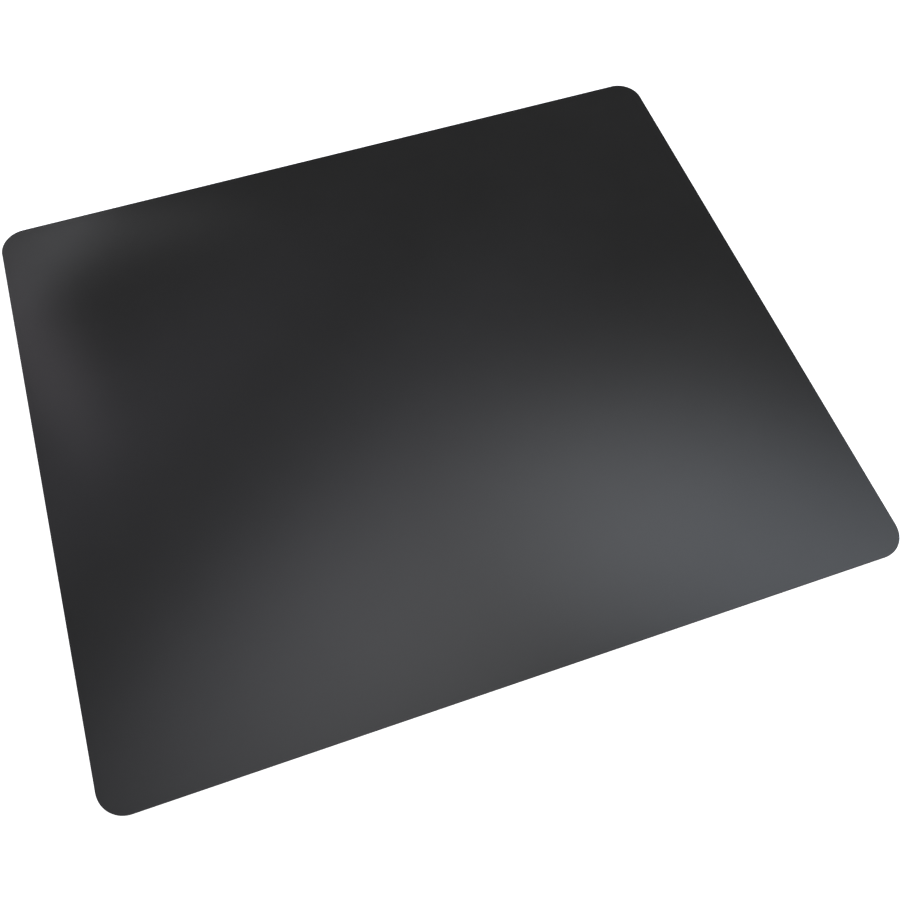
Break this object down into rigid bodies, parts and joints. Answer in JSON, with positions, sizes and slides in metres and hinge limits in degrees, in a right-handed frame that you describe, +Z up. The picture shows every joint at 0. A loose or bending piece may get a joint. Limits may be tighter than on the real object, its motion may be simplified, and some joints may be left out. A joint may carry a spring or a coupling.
{
  "type": "self healing cutting mat",
  "caption": "Thin flat rectangular cutting mat with rounded corners: a bonded laminate of soft self-healing faces, films and a hard core that protects the bench under a knife.",
  "frame": {"origin": "middle of the mat's underside, on the plane that it lies on", "axes": "+X along the long sides, +Y along the short sides, +Z up out of the cutting face"},
  "size_m": [0.6096, 0.508, 0.002],
  "materials": {
    "healing_pvc": "satin",
    "tie_film": "satin",
    "hard_pvc": "matte",
    "grip_pvc": "matte"
  },
  "bodies": {
    "root": {"top_healing_ply": "healing_pvc", "upper_film_ply": "tie_film", "core_ply": "hard_pvc", "lower_film_ply": "tie_film", "base_grip_ply": "grip_pvc"}
  },
  "joints": []
}
